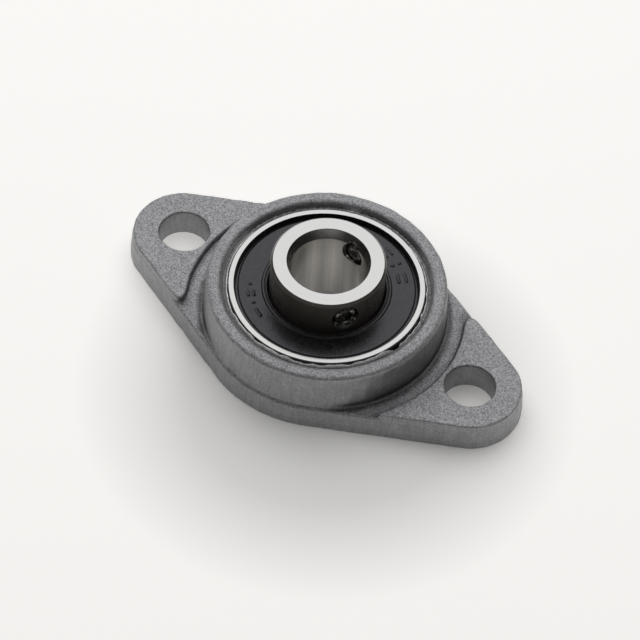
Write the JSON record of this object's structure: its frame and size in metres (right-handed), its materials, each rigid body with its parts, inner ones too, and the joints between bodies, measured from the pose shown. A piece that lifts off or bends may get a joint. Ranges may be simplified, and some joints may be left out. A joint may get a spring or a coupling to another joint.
{
  "type": "flange mount bearing",
  "caption": "Rhombic cast flange housing with bolt ears, holding a sealed self-aligning insert ball bearing whose extended inner ring clamps a shaft with radial set screws.",
  "frame": {"origin": "on the bearing axis at the housing's flat mounting face", "axes": "+Z along the bore axis, from the mounting face towards the extended inner ring; +X along the line of the bolt holes"},
  "size_m": [0.048, 0.027, 0.0113],
  "materials": {
    "cast_zinc": "as cast, shot-blasted, satin",
    "ground_steel": "ground",
    "black_oxide_ring": "black oxide outside, ground face and bore",
    "ball_steel": "polished",
    "cage_steel": "pressed sheet",
    "rivet_steel": "plain",
    "seal_rubber": "moulded, matt",
    "seal_core_steel": "pressed sheet",
    "black_screw": "black oxide"
  },
  "bodies": {
    "housing": {"housing": "cast_zinc"},
    "insert": {"outer_ring": "ground_steel", "front_seal_rubber": "seal_rubber", "front_seal_insert": "seal_core_steel", "rear_seal_rubber": "seal_rubber", "rear_seal_insert": "seal_core_steel"},
    "shaft_ring": {"inner_ring": "black_oxide_ring"},
    "cage": {"cage_front": "cage_steel", "cage_rear": "cage_steel", "cage_rivets": "rivet_steel"},
    "screw_1": {"set_screw_1": "black_screw"},
    "screw_2": {"set_screw_2": "black_screw"},
    "ball_1": {"ball_1": "ball_steel"},
    "ball_2": {"ball_2": "ball_steel"},
    "ball_3": {"ball_3": "ball_steel"},
    "ball_4": {"ball_4": "ball_steel"},
    "ball_5": {"ball_5": "ball_steel"},
    "ball_6": {"ball_6": "ball_steel"},
    "ball_7": {"ball_7": "ball_steel"}
  },
  "joints": [
    {"name": "insert_tilt", "type": "hinge", "parent": "housing", "child": "insert", "pos_m": [0, 0, 0.0039], "axis": [1, 0, 0], "range_deg": [-2, 2]},
    {"name": "shaft_spin", "type": "hinge", "parent": "insert", "child": "shaft_ring", "pos_m": [0, 0, 0.0039], "axis": [0, 0, 1], "continuous": true},
    {"name": "cage_spin", "type": "hinge", "parent": "insert", "child": "cage", "pos_m": [0, 0, 0.0039], "axis": [0, 0, 1], "continuous": true},
    {"name": "ball_1_spin", "type": "hinge", "parent": "cage", "child": "ball_1", "pos_m": [0.0075, 0, 0.0039], "axis": [0, 0, 1], "continuous": true},
    {"name": "ball_2_spin", "type": "hinge", "parent": "cage", "child": "ball_2", "pos_m": [0.00468, 0.00586, 0.0039], "axis": [0, 0, 1], "continuous": true},
    {"name": "ball_3_spin", "type": "hinge", "parent": "cage", "child": "ball_3", "pos_m": [-0.00167, 0.00731, 0.0039], "axis": [0, 0, 1], "continuous": true},
    {"name": "ball_4_spin", "type": "hinge", "parent": "cage", "child": "ball_4", "pos_m": [-0.00676, 0.00325, 0.0039], "axis": [0, 0, 1], "continuous": true},
    {"name": "ball_5_spin", "type": "hinge", "parent": "cage", "child": "ball_5", "pos_m": [-0.00676, -0.00325, 0.0039], "axis": [0, 0, 1], "continuous": true},
    {"name": "ball_6_spin", "type": "hinge", "parent": "cage", "child": "ball_6", "pos_m": [-0.00167, -0.00731, 0.0039], "axis": [0, 0, 1], "continuous": true},
    {"name": "ball_7_spin", "type": "hinge", "parent": "cage", "child": "ball_7", "pos_m": [0.00468, -0.00586, 0.0039], "axis": [0, 0, 1], "continuous": true},
    {"name": "screw_1_travel", "type": "slide", "parent": "shaft_ring", "child": "screw_1", "axis": [0.1564, 0.9877, 0], "range_m": [-0.00015, 0.0015]},
    {"name": "screw_2_travel", "type": "slide", "parent": "shaft_ring", "child": "screw_2", "axis": [0.7771, -0.6293, 0], "range_m": [-0.00015, 0.0015]}
  ],
  "couplings": [
    {"joint": "cage_spin", "follows": "shaft_spin", "ratio": 0.3677},
    {"joint": "ball_1_spin", "follows": "shaft_spin", "ratio": -1.7573},
    {"joint": "ball_2_spin", "follows": "shaft_spin", "ratio": -1.7573},
    {"joint": "ball_3_spin", "follows": "shaft_spin", "ratio": -1.7573},
    {"joint": "ball_4_spin", "follows": "shaft_spin", "ratio": -1.7573},
    {"joint": "ball_5_spin", "follows": "shaft_spin", "ratio": -1.7573},
    {"joint": "ball_6_spin", "follows": "shaft_spin", "ratio": -1.7573},
    {"joint": "ball_7_spin", "follows": "shaft_spin", "ratio": -1.7573}
  ]
}
